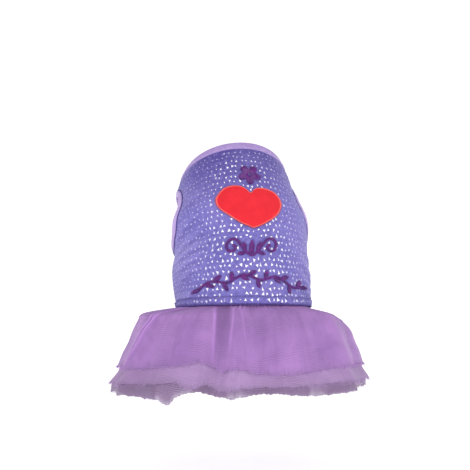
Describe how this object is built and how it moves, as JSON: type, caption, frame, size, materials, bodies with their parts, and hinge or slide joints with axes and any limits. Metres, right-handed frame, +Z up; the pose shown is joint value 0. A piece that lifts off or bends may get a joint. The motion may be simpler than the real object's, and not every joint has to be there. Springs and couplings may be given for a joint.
{
  "type": "dog dress with gathered tulle skirt",
  "caption": "Sleeveless dress for a small dog, as worn: a bound vest with an applied heart and embroidery, and a gathered skirt of layered tulle.",
  "frame": {"origin": "middle of the body's hollow at the waist seam, where the wearer's body carries the dress", "axes": "+Z up along the wearer's body from the waist towards the neck, +Y forward towards the wearer's chest, so the dress's back faces -Y; +X to the wearer's right as seen from behind"},
  "size_m": [0.2609, 0.2244, 0.2597],
  "materials": {
    "vest_cloth": "brushed knit cloth with small foil flecks",
    "binding": "satin knit binding",
    "heart_cloth": "felted cloth",
    "heart_stitching": "satin stitch",
    "embroidery": "satin stitch",
    "tulle_top": "fine stiff tulle",
    "tulle_middle": "fine stiff tulle",
    "tulle_under": "fine stiff tulle"
  },
  "bodies": {
    "root": {"back_panel": "vest_cloth", "chest_panel": "vest_cloth", "neck_binding": "binding", "armhole_binding_left": "binding", "armhole_binding_right": "binding", "waist_hem": "vest_cloth", "heart_patch": "heart_cloth", "heart_border": "heart_stitching", "flower_embroidery": "embroidery", "scroll_embroidery": "embroidery", "vine_embroidery": "embroidery", "skirt_top_layer": "tulle_top", "skirt_middle_layer": "tulle_middle", "skirt_under_layer": "tulle_under"}
  },
  "joints": []
}
